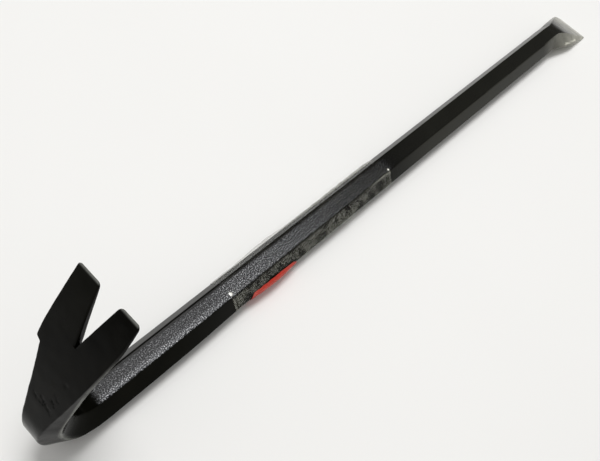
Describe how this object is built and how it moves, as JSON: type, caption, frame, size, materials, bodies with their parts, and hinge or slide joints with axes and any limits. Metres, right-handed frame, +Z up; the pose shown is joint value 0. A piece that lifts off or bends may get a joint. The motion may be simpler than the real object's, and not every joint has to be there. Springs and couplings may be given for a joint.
{
  "type": "pry bar",
  "caption": "Gooseneck pry bar forged from hexagonal steel, with a slotted nail claw on the hook, a flared chisel end and a clear film label round the shank.",
  "frame": {"origin": "centre of the bounding box's base, on the surface that the bar rests on", "axes": "+X along the shank from the gooseneck to the chisel edge, +Z up, the way the hook stands; +Y across the bar"},
  "size_m": [0.4571, 0.0316, 0.0989],
  "materials": {
    "black_enamel": "black enamel over forged steel, pebbled, worn at the edges",
    "clear_film": "clear glossy film, wrinkled",
    "red_print": "plain red print"
  },
  "bodies": {
    "root": {"forged_bar": "black_enamel", "film_wrap": "clear_film", "red_label": "red_print"}
  },
  "joints": []
}
